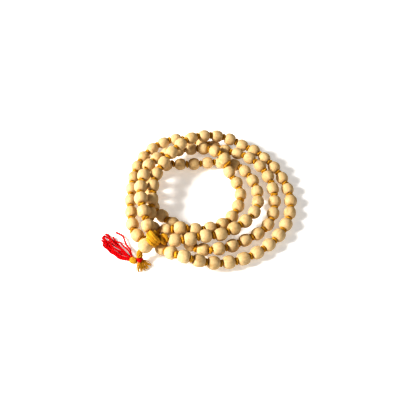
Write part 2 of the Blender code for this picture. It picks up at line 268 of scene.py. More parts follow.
class MalaColours(bpy.types.PropertyGroup):
    """Colours of the wood, the cotton, the tassel and the floor."""

    wood_light: colour_property(
        "Wood", "Pale face of a bead", (0.74, 0.575, 0.35, 1.0)
    )
    wood_dark: colour_property(
        "Wood grain", "Darker streaks of the wood", (0.56, 0.38, 0.17, 1.0)
    )
    # The cord's stain together with painted shade on the bead's ends round the bores
    wood_bore_stain_and_shade: colour_property(
        "Shaded_and_stained wood", "Wood round the bores, stained by the cord", (0.44, 0.23, 0.06, 1.0)
    )
    cotton_light: colour_property(
        "Cotton", "Outer fibres of the yellow cord", (0.72, 0.44, 0.055, 1.0)
    )
    # Painted shade: the colour of the valleys between the plies, also used for darker fibre
    # streaks
    cotton_streaks_and_valley_shade: colour_property(
        "Cotton valleys", "Cord between its plies", (0.46, 0.23, 0.018, 1.0)
    )
    red_light: colour_property(
        "Tassel red", "Outer fibres of the tassel yarn", (0.80, 0.003, 0.014, 1.0)
    )
    # Painted shade: the colour of the tassel yarn's valleys between the plies, also used for
    # darker fibre streaks
    red_streaks_and_valley_shade: colour_property(
        "Tassel valleys", "Tassel yarn between its plies", (0.42, 0.001, 0.008, 1.0)
    )
    floor: colour_property(
        "Floor", "The pale surface under the strand", (0.90, 0.90, 0.91, 1.0)
    )


# ---------------------------------------------------------------- where the beads lie


def catmull_rom(points, samples):
    """A smooth open curve through the points, as many samples to each span."""
    ends = np.vstack((2 * points[0] - points[1], points, 2 * points[-1] - points[-2]))
    curve = []
    for before, start, end, after in zip(ends, ends[1:], ends[2:], ends[3:]):
        for t in np.arange(samples) / samples:
            square = (2 * before - 5 * start + 4 * end - after) * t**2
            cube = (3 * start - before - 3 * end + after) * t**3
            curve.append(0.5 * (2 * start + (end - before) * t + square + cube))
    curve.append(points[-1])
    return np.array(curve)


def along(curve, count):
    """The curve's length, and that many points spaced evenly along it."""
    steps = np.linalg.norm(np.diff(curve, axis=0), axis=1)
    reached = np.concatenate(([0.0], np.cumsum(steps)))
    places = np.linspace(0.0, reached[-1], count)
    spaced = np.stack([np.interp(places, reached, axis) for axis in curve.T], axis=1)
    return reached[-1], spaced


def keep_pitch(beads):
    """Moves neighbours on the cord to one pitch apart."""
    for first in (0, 1):
        near, far = beads[first:-1:2], beads[first + 1 :: 2]
        step = far - near
        length = np.linalg.norm(step, axis=1, keepdims=True)
        move = step * (length - PITCH) / length / 2
        near += move
        far -= move


def keep_apart(beads, fixed):
    """Moves beads of different turns apart, and clear of the fixed lumps."""
    distance = np.linalg.norm(beads[:, None] - beads[None], axis=2)
    for i, j in np.argwhere(np.triu(distance < SPACING, 2)):
        step = beads[i] - beads[j]
        length = np.linalg.norm(step)
        move = step * max(SPACING - length, 0.0) / length / 2
        beads[i] += move
        beads[j] -= move
    for centre, reach in fixed:
        room = BEAD_REACH + reach + CLEARANCE
        for bead in beads[1:-1]:
            step = bead - centre
            length = np.linalg.norm(step)
            if length < room:
                bead += step * (room - length) / length


def beyond(start, place, distance):
    """The point at that distance from the start, in the direction of the place."""
    return start + (place - start) * distance / np.linalg.norm(place - start)


def lay_strand():
    """The settled bead centres, and the guru bead, its binding and the big knot."""
    length, beads = along(catmull_rom(np.array(ROUTE_MM, float) * MM, 12), BEAD_COUNT)
    scale = PITCH * (BEAD_COUNT - 1) / length
    beads = beads * scale
    guru, binding, knot = np.array((GURU_MM, BINDING_MM, BIG_KNOT_MM)) * MM * scale
    binding = beyond(guru, binding, (GURU_LENGTH + BINDING_LENGTH) / 2 + CLEARANCE)
    knot = beyond(binding, knot, (BINDING_DIAMETER + BIG_KNOT_LENGTH) / 2 + CLEARANCE)
    fixed = (
        (guru, GURU_REACH),
        (binding, BINDING_DIAMETER / 2),
        (knot, BIG_KNOT_DIAMETER / 2),
    )
    for _ in range(500):
        keep_pitch(beads)
        keep_apart(beads, fixed)
        beads[:, 2] = np.maximum(beads[:, 2], BEAD_REACH)
        beads[0] = beyond(knot, beads[0], BIG_KNOT_LENGTH / 2 + BEAD_REACH + 2 * CLEARANCE)
    return beads, np.array([centre for centre, _ in fixed]), scale


def unit(vector):
    return vector / np.linalg.norm(vector)


def across(axis):
    """Two unit directions square to an axis and to each other."""
    side = unit(np.cross(axis, (0.0, 0.0, 1.0) if abs(axis[2]) < 0.9 else (1.0, 0.0, 0.0)))
    return side, np.cross(axis, side)


def turned_to(angle, side, up):
    """Unit directions at these angles from side towards up."""
    return side * np.cos(angle)[:, None] + up * np.sin(angle)[:, None]


class Strand:
    """The beads' centres and directions where the frame has them."""

    def __init__(self):
        beads, lumps, self.scale = lay_strand()
        low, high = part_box("bead_060")
        self.shift = np.array((low + high) / 2) - beads[59]
        self.centres = beads + self.shift
        self.guru, self.binding, self.big_knot = lumps + self.shift
        line = np.vstack((self.big_knot, self.centres, self.binding))
        self.axes = np.array([unit(b - a) for a, b in zip(line, line[2:])])
        self.guru_axis = unit(self.guru - self.binding)

    def place(self, points_mm):
        """Points of the route's own frame, in the frame's metres."""
        return np.array(points_mm, float) * MM * self.scale + self.shift

    def face(self, number, side):
        return self.centres[number - 1] + self.axes[number - 1] * side * BEAD_LENGTH / 2

    def gap(self, number):
        """The gap after a bead: both faces' centres and directions."""
        return (
            (self.face(number, 1), self.axes[number - 1]),
            (self.face(number + 1, -1), self.axes[number]),
        )

    def knot_centre(self, number):
        (start, _), (end, _) = self.gap(number)
        return (start + end) / 2


# ---------------------------------------------------------------- meshes


class Shape:
    """Closed bodies that are joined into one mesh, with what their materials read."""

    def __init__(self):
        self.points, self.faces, self.thread = [], [], []
        self.values = {}
        self.count = 0

    def add(self, points, faces, thread=None, **values):
        """thread holds, for each face corner, its place along and round a yarn."""
        self.points.append(np.asarray(points, float))
        self.faces += [[self.count + i for i in face] for face in faces]
        if thread is not None:
            self.thread += thread
        for name, value in values.items():
            self.values.setdefault(name, []).append(np.asarray(value, float))
        self.count += len(points)

    def mesh(self, name, material):
        mesh = bpy.data.meshes.new(name)
        mesh.from_pydata(np.vstack(self.points).tolist(), [], self.faces)
        mesh.polygons.foreach_set("use_smooth", [True] * len(mesh.polygons))
        if self.thread:
            layer = mesh.uv_layers.new(name="thread")
            layer.data.foreach_set("uv", np.array(self.thread, np.float32).ravel())
        for key, parts in self.values.items():
            value = np.concatenate(parts).astype(np.float32)
            kind, field = ("FLOAT_VECTOR", "vector") if value.ndim == 2 else ("FLOAT", "value")
            mesh.attributes.new(key, kind, "POINT").data.foreach_set(field, value.ravel())
        mesh.materials.append(material)
        mesh.update()
        return mesh

    def piece(self, name, finish, body, replaced, centre=(0, 0, 0), axis=(0, 0, 1)):
        """The finished piece at its centre, its Z along the axis, riding on its body."""
        obj = bpy.data.objects.new(name, self.mesh(name, finish_named(finish)))
        bpy.context.scene.collection.objects.link(obj)
        obj.location = centre
        obj.rotation_mode = "QUATERNION"
        obj.rotation_quaternion = Vector((0, 0, 1)).rotation_difference(Vector(axis))
        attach(obj, body)
        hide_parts(replaced)
        return obj


def frames_along(path, closed):
    """Directions across a path that turn with it and never twist."""
    count = len(path)
    if closed:
        ahead = np.roll(path, -1, axis=0) - np.roll(path, 1, axis=0)
    else:
        ahead = np.gradient(path, axis=0)
    ahead /= np.linalg.norm(ahead, axis=1, keepdims=True)
    side = np.empty((count, 3))
    side[0] = across(ahead[0])[0]
    for i in range(1, count):
        side[i] = unit(side[i - 1] - ahead[i] * (side[i - 1] @ ahead[i]))
    up = np.cross(ahead, side)
    if closed:
        # What the directions have turned after one round is taken out evenly.
        moved = unit(side[-1] - ahead[0] * (side[-1] @ ahead[0]))
        turn = math.atan2(moved @ up[0], moved @ side[0])
        angle = -turn * np.arange(count) / count
        side, up = turned_to(angle, side, up), turned_to(angle, up, -side)
    return side, up


def tube(path, radius, sides=10, closed=False, plies=0, relief=0.0, pitch=CORD_PITCH):
    """Points, faces and thread places of a round or plied tube along a path.

    radius is one number or one for each path point. With plies, the section has that many
    lobes, which wind round the tube once in each pitch.
    """
    path = np.asarray(path, float)
    count = len(path)
    side, up = frames_along(path, closed)
    steps = np.linalg.norm(np.diff(path, axis=0, append=path[:1]), axis=1)
    reached = np.concatenate(([0.0], np.cumsum(steps)))
    length = reached[-1] if closed else reached[count - 1]
    turns = round(length / pitch) if closed else length / pitch
    round_it = np.linspace(0.0, 2 * math.pi, sides, endpoint=False)
    phase = 2 * math.pi * turns * reached[:count, None] / length
    swell = 1.0 + relief * np.cos(plies * round_it[None, :] - phase) if plies else 1.0
    wide = np.reshape(radius, (-1, 1)) * swell * np.ones((count, sides))
    ring = (
        path[:, None, :]
        + side[:, None, :] * (wide * np.cos(round_it))[:, :, None]
        + up[:, None, :] * (wide * np.sin(round_it))[:, :, None]
    )
    faces, thread = [], []
    along_mm = reached / MM
    for i in range(count if closed else count - 1):
        after = (i + 1) % count
        for j in range(sides):
            beside = (j + 1) % sides
            faces.append(
                (i * sides + j, i * sides + beside, after * sides + beside, after * sides + j)
            )
            low, high = j / sides, (j + 1) / sides
            thread += [
                (along_mm[i], low), (along_mm[i], high),
                (along_mm[i + 1], high), (along_mm[i + 1], low),
            ]
    if not closed:
        faces.append(tuple(range(sides))[::-1])
        thread += [(along_mm[0], 0.5)] * sides
        faces.append(tuple(range((count - 1) * sides, count * sides)))
        thread += [(along_mm[count - 1], 0.5)] * sides
    return ring.reshape(-1, 3), faces, thread


def smooth(points, samples=8):
    return catmull_rom(np.asarray(points, float), samples)


def twisted(path, reach, plies, pitch, start=0.0):
    """The centrelines of the plies of a yarn, each as far from its centreline as reach."""
    side, up = frames_along(path, False)
    steps = np.linalg.norm(np.diff(path, axis=0), axis=1)
    reached = np.concatenate(([0.0], np.cumsum(steps)))
    lines = []
    for ply in range(plies):
        angle = 2 * math.pi * (reached / pitch + ply / plies) + start
        lines.append(path + turned_to(angle, side, up) * np.reshape(reach, (-1, 1)))
    return lines


def torus_knot(ring, swing, rise, samples):
    """The closed line of an overhand knot: twice round Z, crossing itself three times."""
    u = np.linspace(0.0, 2 * math.pi, samples, endpoint=False)
    reach = ring + swing * np.cos(3 * u)
    x, y = reach * np.cos(2 * u), reach * np.sin(2 * u)
    return np.stack((x, y, rise * np.sin(3 * u)), axis=1)


def coil(centre, axis, reach, turns, pitch, start):
    """The line of a thick cord wound round an axis, its two ends tucked in."""
    side, up = across(axis)
    share = np.linspace(-0.5, 0.5, int(turns * 30))
    angle = 2 * math.pi * turns * share + start
    tucked = 1.0 - 0.55 * np.clip((np.abs(share) - 0.42) / 0.08, 0.0, 1.0)
    out = turned_to(angle, side, up) * (reach * tucked)[:, None]
    return centre + out + (pitch * turns * share)[:, None] * axis


# ---------------------------------------------------------------- finishes


class Finish:
    """A Principled material and short calls that add nodes to it."""

    def __init__(self, name, sockets):
        self.material = bpy.data.materials.new(name)
        self.material.use_nodes = True
        self.tree = self.material.node_tree
        self.shader = self.tree.nodes["Principled BSDF"]
        for socket, value in sockets.items():
            self.shader.inputs[socket].default_value = value

    def add(self, kind, *links, **settings):
        """A node with its settings; links are (input, value or output socket)."""
        node = self.tree.nodes.new(kind)
        for key, value in settings.items():
            setattr(node, key, value)
        for socket, value in links:
            if isinstance(value, bpy.types.NodeSocket):
                self.tree.links.new(value, node.inputs[socket])
            else:
                node.inputs[socket].default_value = value
        return node

    def attribute(self, name, output="Vector"):
        return self.add("ShaderNodeAttribute", attribute_name=name).outputs[output]

    def math(self, operation, first, second=0.0):
        links = [(0, first), (1, second)]
        return self.add("ShaderNodeMath", *links, operation=operation).outputs[0]

    def noise(self, vector, scale, detail=3.0, roughness=0.55):
        links = [("Vector", vector), ("Scale", scale)]
        links += [("Detail", detail), ("Roughness", roughness)]
        return self.add("ShaderNodeTexNoise", *links).outputs["Fac"]

    def stretch(self, vector, scale):
        links = [("Vector", vector), ("Scale", scale)]
        return self.add("ShaderNodeMapping", *links).outputs["Vector"]

    def ranged(self, value, low, high, to_low=0.0, to_high=1.0):
        links = [
            ("Value", value), ("From Min", low), ("From Max", high),
            ("To Min", to_low), ("To Max", to_high),
        ]
        return self.add("ShaderNodeMapRange", *links).outputs["Result"]

    def mix(self, share, first, second):
        """The two colours mixed; 0, 6, 7 and 2 are the colour mode's own sockets."""
        links = [(0, share), (6, first), (7, second)]
        return self.add("ShaderNodeMix", *links, data_type="RGBA").outputs[2]

    def bump(self, height, distance, strength=1.0, below=None):
        links = [("Height", height), ("Distance", distance), ("Strength", strength)]
        if below is not None:
            links.append(("Normal", below))
        return self.add("ShaderNodeBump", *links).outputs["Normal"]

    def drive(self, sockets):
        for socket, output in sockets.items():
            self.tree.links.new(output, self.shader.inputs[socket])
        return self.material


def wood_finish(colours):
    """Pale close-grained wood: streaks and pores, lathe rings, and round the bores a cord stain
    with painted shade.
    """
    finish = Finish("turned_wood", {"Specular IOR Level": 0.3})
    block = finish.attribute("wood_block")
    turned = finish.attribute("turned_place")
    tone = finish.attribute("tone", "Fac")
    bore_stain_and_shade = finish.attribute("near_bore", "Fac")
    streaks = finish.noise(finish.stretch(block, (1.0, 1.0, 0.12)), 0.9, 4.0)
    pores = finish.noise(finish.stretch(block, (1.0, 1.0, 0.15)), 6.5, 2.0)
    clouds = finish.noise(block, 0.35, 2.0)
    rings = finish.noise(finish.stretch(turned, (0.05, 0.05, 1.0)), 5.0, 2.0)
    grain = finish.ranged(streaks, 0.48, 0.74, 0.0, 0.6)
    colour = finish.mix(grain, tuple(colours.wood_light), tuple(colours.wood_dark))
    shade = finish.ranged(pores, 0.52, 0.75, 0.0, 0.4)
    colour = finish.mix(shade, colour, tuple(colours.wood_dark))
    honey = finish.math("MULTIPLY", tone, finish.ranged(clouds, 0.35, 0.7))
    colour = finish.mix(finish.math("MULTIPLY", honey, 0.75), colour, tuple(colours.wood_dark))
    # Painted shade: the ends round the bore are darkened for the shade beside the knots, together
    # with the cord's stain.
    stained_and_shaded = finish.math("MULTIPLY", bore_stain_and_shade, finish.ranged(clouds, 0.2, 0.8, 0.45, 1.0))
    colour = finish.mix(stained_and_shaded, colour, tuple(colours.wood_bore_stain_and_shade))
    rough = finish.ranged(finish.math("ADD", pores, streaks), 0.7, 1.3, 0.52, 0.74)
    normal = finish.bump(rings, 0.05 * MM, 0.5)
    normal = finish.bump(pores, 0.06 * MM, 0.6, normal)
    return finish.drive({"Base Color": colour, "Roughness": rough, "Normal": normal})


def yarn_finish(name, light, dark, plies, pitch, fuzz, sheen):
    """Twisted yarn: fibres that run with the twist, painted shade in the valleys between the
    plies, and a soft sheen.
    """
    finish = Finish(name, {
        "Specular IOR Level": 0.25,
        "Sheen Weight": sheen,
        "Sheen Roughness": 0.5,
        "Sheen Tint": tuple(light),
    })
    thread = finish.add("ShaderNodeUVMap", uv_map="thread").outputs["UV"]
    parts = finish.add("ShaderNodeSeparateXYZ", ("Vector", thread))
    reached, turned = parts.outputs["X"], parts.outputs["Y"]
    angle = finish.math("MULTIPLY", turned, 2 * math.pi)
    twist = finish.math("MULTIPLY", reached, 2 * math.pi * MM / pitch)
    wound = finish.math("SUBTRACT", angle, twist)
    links = [("X", finish.math("COSINE", wound)), ("Y", finish.math("SINE", wound))]
    links.append(("Z", finish.math("MULTIPLY", reached, 0.06)))
    lie = finish.add("ShaderNodeCombineXYZ", *links).outputs["Vector"]
    fibres = finish.noise(lie, 5.5, 3.0, 0.6)
    hairs = finish.noise(lie, 15.0, 2.0, 0.6)
    uneven = finish.noise(finish.stretch(lie, (0.3, 0.3, 1.0)), 1.6, 2.0)
    round_plies = finish.math("MULTIPLY", angle, plies)
    ply = finish.math("COSINE", finish.math("SUBTRACT", round_plies, twist))
    # Painted shade: the valleys between the twisted plies are coloured darker.
    valley_shade = finish.ranged(ply, -1.0, 0.3, 0.75, 0.0)
    colour = finish.mix(finish.ranged(fibres, 0.35, 0.68, 0.55, 0.0), tuple(light), tuple(dark))
    colour = finish.mix(valley_shade, colour, tuple(dark))
    paler = tuple(min(1.0, c * 1.12 + 0.02) for c in light[:3]) + (1.0,)
    colour = finish.mix(finish.ranged(uneven, 0.5, 0.8, 0.0, 0.6), colour, paler)
    rough = finish.ranged(fibres, 0.3, 0.7, 0.95, 0.72)
    normal = finish.bump(fibres, 0.16 * MM, 0.9)
    normal = finish.bump(hairs, fuzz, 0.6, normal)
    return finish.drive({"Base Color": colour, "Roughness": rough, "Normal": normal})


def floor_finish(colours):
    """A matt pale surface with the faintest unevenness, glowing: faintly near the strand, which
    pales its shadows, and brighter further out.
    """
    finish = Finish("pale_floor", {"Roughness": 0.7, "Emission Color": tuple(colours.floor)})
    place = finish.add("ShaderNodeTexCoord").outputs["Object"]
    away = finish.add("ShaderNodeVectorMath", (0, place), operation="LENGTH").outputs["Value"]
    # Painted light: the floor glows, faintly near the strand to pale its shadows and up to bright
    # white further out.
    glow = finish.ranged(away, 0.25, 1.1, 0.26, 1.3)
    mottle = finish.noise(place, 14.0, 3.0)
    light = tuple(colours.floor)
    shade = tuple(c * 0.985 for c in light[:3]) + (1.0,)
    colour = finish.mix(mottle, light, shade)
    normal = finish.bump(finish.noise(place, 900.0, 2.0), 0.02 * MM, 0.1)
    return finish.drive({"Base Color": colour, "Normal": normal, "Emission Strength": glow})


def finish_named(name):
    """A finish of this name, made the first time that a piece asks for it."""
    material = bpy.data.materials.get(name)
    if material is not None:
        return material
    colours = bpy.context.scene.mala_colours
    if name == "turned_wood":
        return wood_finish(colours)
    if name == "pale_floor":
        return floor_finish(colours)
    yellow = colours.cotton_light, colours.cotton_streaks_and_valley_shade
    red = colours.red_light, colours.red_streaks_and_valley_shade
    # Colours, plies, the length of one turn, the fuzz's depth and the sheen
    yarns = {
        "yellow_cotton": (*yellow, 3, CORD_PITCH, 0.05 * MM, 0.25),
        "soft_cotton": (*yellow, 5, SOFT_PITCH, 0.08 * MM, 0.25),
        "red_cotton": (*red, 2, RED_PITCH, 0.04 * MM, 0.15),
    }
    return yarn_finish(name, *yarns[name])


# ---------------------------------------------------------------- beads


def bead_outline(diameter, length, fullness):
    """(radius, height) from the bore's top edge down the outside to its lower edge."""
    half, end, hole = length / 2, BEAD_END_DIAMETER / 2, BORE_DIAMETER / 2
    edge = 0.18 * MM
    top = [(hole, half - edge), (hole + edge, half - 0.02 * MM), (end - edge, half)]
    sweep = np.cos(np.linspace(0.0, math.pi, 17))[1:-1]
    outside = [
        (end + (diameter / 2 - end) * (1 - t * t) ** fullness, t * (half - 0.03 * MM))
        for t in sweep
    ]
    return np.array(top + outside + [(radius, -height) for radius, height in top[::-1]])


def turned_bead(name, centre, axis, diameter, length, rng, flats, body, replaced):
    """One bored bead with its own slight faults, its local Z along the bore."""
    steps, hole = 32, BORE_DIAMETER / 2
    outline = bead_outline(diameter, length, 0.46 + 0.16 * rng.random())
    skew = 0.10 * (rng.random() - 0.5)
    corners = rng.integers(7, 11)
    phases = rng.random(3) * 2 * math.pi
    faults = 0.004 + 0.008 * rng.random(2)
    round_it = np.linspace(0.0, 2 * math.pi, steps, endpoint=False)
    sector = 2 * math.pi / corners
    cut = np.cos(sector / 2) / np.cos((round_it + phases[0]) % sector - sector / 2)
    points = []
    for radius, height in outline:
        full = (radius - hole) / (diameter / 2 - hole)
        uneven = (
            faults[0] * np.cos(2 * round_it + phases[1])
            + faults[1] * np.cos(3 * round_it + phases[2] + 300 * height)
            + flats * (cut - 1.0)
        )
        wide = radius * (1.0 + full * uneven)
        lift = height + skew * full * (1 - (2 * height / length) ** 2) * length / 2
        x, y = wide * np.cos(round_it), wide * np.sin(round_it)
        points.append(np.stack((x, y, np.full(steps, lift)), axis=1))
    rings = len(points)
    points = np.concatenate(points)
    faces = []
    for i in range(rings):
        below = (i + 1) % rings
        for j in range(steps):
            beside = (j + 1) % steps
            faces.append(
                (i * steps + j, below * steps + j, below * steps + beside, i * steps + beside)
            )
    turn = Matrix.Rotation(rng.random() * math.pi, 3, Vector(rng.normal(size=3)).normalized())
    shift = rng.random(3) * 60
    # How near each ring is to the bore, which sets the cord's stain and the painted shade on the
    # bead's ends
    past_bore = (outline[:, 0] - hole) / STAIN_AND_SHADE_WIDTH
    nearness = np.repeat(np.clip(1.0 - past_bore, 0, 1) ** 1.5, steps)
    shape = Shape()
    shape.add(
        points, faces,
        wood_block=points / MM @ np.array(turn).T + shift,
        turned_place=points / MM + shift[2],
        near_bore=nearness,
        tone=np.full(len(points), rng.random()),
    )
    shape.piece(name, "turned_wood", body, replaced, centre, axis)


def node_of(number):
    """The frame's body and node that a bead belongs to."""
    for order, (first, last) in enumerate(SECTIONS, 1):
        if first <= number <= last:
            return "pile", f"strand_section_{order:02d}"
    return f"bead_{number:03d}", f"bead_{number:03d}"


# ---------------------------------------------------------------- knots and windings


def knot_form(diameter, length, cord):
    """A drawn-up overhand knot about Z: its points as shares of its half length."""
    reach = (diameter - cord) / 2
    line = torus_knot(0.66 * reach, 0.34 * reach, (length - cord) / 2, 72)
    points, faces, thread = tube(line, cord / 2, sides=12, closed=True, plies=3, relief=0.10)
    points[:, 2] /= np.abs(points[:, 2]).max()
    return points, faces, thread


def add_knot(shape, form, start, end, turn, wide):
    """Adds a knot that fills the wedge between two faces, each a place and a direction."""
    points, faces, thread = form
    (low, low_axis), (high, high_axis) = start, end
    centre, axis = (low + high) / 2, unit(high - low)
    side, up = across(axis)
    cos, sin = math.cos(turn) * wide, math.sin(turn) * wide
    x = points[:, 0] * cos - points[:, 1] * sin
    y = points[:, 0] * sin + points[:, 1] * cos
    out = centre + x[:, None] * side + y[:, None] * up
    to_low = -((out - low) @ low_axis) / (axis @ low_axis)
    to_high = -((out - high) @ high_axis) / (axis @ high_axis)
    slack, thinnest = 0.06 * MM, 0.2 * MM
    middle, half = (to_low + to_high) / 2, (to_high - to_low) / 2 - slack
    out = out + (middle + points[:, 2] * np.maximum(half, thinnest))[:, None] * axis
    shape.add(out, faces, thread)


def winding(path, radii, turns, thread):
    """The line of a thread wound round a path that is as thick as radii say."""
    _, line = along(smooth(path, 40), int(turns * 26))
    side, up = frames_along(line, False)
    share = np.linspace(0.0, 1.0, len(line))
    reach = np.interp(share, np.linspace(0.0, 1.0, len(radii)), radii) - thread / 2
    return line + turned_to(2 * math.pi * turns * share, side, up) * reach[:, None]


# ---------------------------------------------------------------- operators


class MALA_OT_stage(bpy.types.Operator):
    """Sets out the pale floor, the studio light and the camera"""

    bl_idname = "mala.stage"
    bl_label = "Stage"

    def execute(self, context):
        scene = context.scene
        mesh = bpy.data.meshes.new("floor")
        corners = [
            (x * FLOOR_HALF, y * FLOOR_HALF, 0.0) for x, y in ((-1, -1), (1, -1), (1, 1), (-1, 1))
        ]
        mesh.from_pydata(corners, [], [(0, 1, 2, 3)])
        mesh.materials.append(finish_named("pale_floor"))
        floor = bpy.data.objects.new("floor", mesh)
        floor.location.z = FLOOR_HEIGHT
        scene.collection.objects.link(floor)

        aim = Vector(STRAND.shift)
        camera_data = bpy.data.cameras.new("camera")
        camera_data.lens = LENS
        camera_data.sensor_width = SENSOR
        camera = bpy.data.objects.new("camera", camera_data)
        back = Vector((0.0, -math.cos(VIEW_ELEVATION), math.sin(VIEW_ELEVATION)))
        camera.location = aim + back * VIEW_DISTANCE * STRAND.scale
        camera.rotation_euler = (-back).to_track_quat("-Z", "Y").to_euler()
        camera_data.clip_start = 0.01
        scene.collection.objects.link(camera)
        scene.camera = camera

        for name, place, size, power, colour in LAMPS:
            lamp_data = bpy.data.lights.new(name, "AREA")
            lamp_data.shape = "DISK"
            lamp_data.size = size
            lamp_data.energy = power
            lamp_data.color = colour
            lamp = bpy.data.objects.new(name, lamp_data)
            lamp.location = place
            lamp.rotation_euler = (-Vector(place)).to_track_quat("-Z", "Y").to_euler()
            scene.collection.objects.link(lamp)

        world = bpy.data.worlds.new("studio")
        world.use_nodes = True
        sky = world.node_tree.nodes["Background"]
        sky.inputs["Color"].default_value = ROOM_COLOUR
        sky.inputs["Strength"].default_value = ROOM_STRENGTH
        # Past the floor the camera sees plain white.
        nodes, links = world.node_tree.nodes, world.node_tree.links
        white, seen, choice = (
            nodes.new(f"ShaderNode{kind}") for kind in ("Background", "LightPath", "MixShader")
        )
        white.inputs["Color"].default_value = WHITE
        links.new(seen.outputs["Is Camera Ray"], choice.inputs[0])
        links.new(sky.outputs[0], choice.inputs[1])
        links.new(white.outputs[0], choice.inputs[2])
        links.new(choice.outputs[0], nodes["World Output"].inputs["Surface"])
        scene.world = world
        scene.view_settings.view_transform = "Standard"
        scene.view_settings.look = "High Contrast"
        scene.view_settings.gamma = 0.85
        return {"FINISHED"}


class MALA_OT_cords(bpy.types.Operator):
    """Threads the strand's cord: round the pile, and on each side of the guru bead"""

    bl_idname = "mala.cords"
    bl_label = "Cords"

    def cord(self, name, line, body, replaced):
        line = smooth(line, 6)
        shape = Shape()
        shape.add(*tube(line, CORD_DIAMETER / 2, sides=9, plies=3, relief=0.08))
        obj = shape.piece(name, "yellow_cotton", body, replaced)

    def run_through(self, first, last):
        """The cord's line through beads, and through the knots between them."""
        line = []
        for number in range(first, last + 1):
            line.append(STRAND.centres[number - 1])
            if number < last:
                line.append(STRAND.knot_centre(number))
        return line

    def execute(self, context):
        first, last = LIFTED_RIGHT[1] + 1, LIFTED_LEFT[0] - 1
        line = [STRAND.knot_centre(first - 1), *self.run_through(first, last)]
        line.append(STRAND.knot_centre(last))
        self.cord("pile_cord", line, "pile", "outer_turn_cord")

        neck = STRAND.place(NECK_MM)
        tie = STRAND.place(TIE_MM)
        down = [STRAND.binding, STRAND.guru, neck[0], tie + (0.0, 0.0, TIE_MOUTH)]
        line = [STRAND.knot_centre(LIFTED_LEFT[0] - 1), *self.run_through(*LIFTED_LEFT)]
        line += [STRAND.face(LIFTED_LEFT[1], 1), *down]
        self.cord("left_cord", line, "guru_stretch", "guru_cord_left")
        line = [STRAND.knot_centre(LIFTED_RIGHT[1]), *self.run_through(*LIFTED_RIGHT)[::-1]]
        line += [STRAND.big_knot, *down]
        self.cord("right_cord", line, "guru_stretch", "guru_cord_right")
        return {"FINISHED"}


class MALA_OT_tassel(bpy.types.Operator):
    """Lays out the tassel's red yarns and winds its yellow head"""

    bl_idname = "mala.tassel"
    bl_label = "Tassel"

    def wavy(self, line, rng):
        """The yarn's line with the slow waves that it keeps from being twisted."""
        side, up = frames_along(line, False)
        share = np.linspace(0.0, 1.0, len(line))
        turns, start = 3.0 + 2.0 * rng.random(), rng.random() * 2 * math.pi
        angle = 2 * math.pi * turns * share + start
        swing = YARN_WAVE * np.clip((share - 0.25) * 3, 0.0, 1.0)
        waved = line + turned_to(angle, side, up) * swing[:, None]
        waved[:, 2] = np.maximum(waved[:, 2], YARN_LOWEST)
        return waved

    def execute(self, context):
        sizes = context.scene.mala_sizes
        rng = np.random.default_rng(5)
        head = STRAND.place(TASSEL_BINDING_MM)
        for order, points in enumerate(YARNS_MM, 1):
            drift = STRAND.place(points[0]) - head[-1]
            inside = [STRAND.place(TIE_MM), head[0] + drift * 0.35, head[1] + drift * 0.6]
            line = self.wavy(smooth([*inside, *STRAND.place(points)], 24), rng)
            shape = Shape()
            for ply in twisted(line, sizes.yarn_diameter / 4, 2, YARN_TWIST, order):
                taper = np.full(len(ply), sizes.yarn_diameter * 0.29)
                taper[-3:] *= (0.95, 0.8, 0.45)
                shape.add(*tube(ply, taper, sides=7))
            name = f"tassel_yarn_{order:02d}"
            obj = shape.piece(name, "red_cotton", "tassel", "tassel_threads")
        shape = Shape()
        line = winding(head, np.array(HEAD_RADII_MM) * MM, HEAD_TURNS, sizes.winding_thread)
        shape.add(*tube(line, sizes.winding_thread / 2, sides=9, plies=3, relief=0.1))
        shape.add(*tube(smooth(head), HEAD_CORE, sides=14))
        shape.piece("tassel_head", "yellow_cotton", "tassel", "tassel_binding")
        return {"FINISHED"}


class MALA_OT_tie(bpy.types.Operator):
    """Ties the red yarn round the cord ends, and frays the two ends below it"""

    bl_idname = "mala.tie"
    bl_label = "Tie and frayed ends"

    def execute(self, context):
        rng = np.random.default_rng(31)
        tie = STRAND.place(TIE_MM)
        shape = Shape()
        yarn = dict(closed=True, plies=2, relief=0.12, pitch=RED_PITCH)
        u = np.linspace(0.0, 2 * math.pi, 30, endpoint=False)
        for height, reach in TIE_ROUNDS_MM:
            rise = height + 0.2 * np.sin(u + height)
            ring = np.stack((reach * np.cos(u), reach * np.sin(u), rise), axis=1)
            shape.add(*tube(tie + ring * MM, TIE_YARN, **yarn))
        knot = torus_knot(0.5 * MM, 0.28 * MM, 0.35 * MM, 40)[:, (0, 2, 1)]
        front = tie + np.array(TIE_KNOT_MM) * MM
        shape.add(*tube(front + knot, TIE_KNOT_YARN, sides=8, closed=True))
        core = [tie - (0.0, 0.0, TIE_HALF_HEIGHT), tie + (0.0, 0.0, TIE_HALF_HEIGHT)]
        shape.add(*tube(core, TIE_CORE_RADIUS, sides=12))
        shape.piece("red_yarn_tie", "red_cotton", "tassel_tie", "red_tie")

        for name, points in TAILS_MM.items():
            route = STRAND.place(points)
            start = tie + (route[0] - tie) * 0.45
            shape = Shape()
            side, up = across(unit(route[-1] - route[0]))
            for fibre in range(FRAYED_FIBRES):
                angle = 2 * math.pi * (fibre % 3) / 3 + 1.3 * rng.random()
                spread = (0.5 + 0.9 * rng.random()) * MM
                curl = rng.normal(size=3) * 0.35 * MM
                out = side * math.cos(angle) + up * math.sin(angle) * 0.5
                reach = 0.80 + 0.32 * rng.random()
                tip = route[0] + (route[2] - route[0]) * reach + out * spread * 2.1 - curl
                middle = route[1] + out * spread * 1.4 + curl
                near = [start + out * spread * 0.5, route[0] + out * spread * 0.8]
                line = smooth([*near, middle, tip], 6)
                line[:, 2] = np.maximum(line[:, 2], FRAYED_LOWEST)
                taper = np.linspace(*FRAYED_RADII_MM, len(line)) * MM
                shape.add(*tube(line, taper, sides=6))
            end = name.replace("cord_tail", "frayed_end")
            shape.piece(end, "yellow_cotton", "tassel_tie", name)
        return {"FINISHED"}


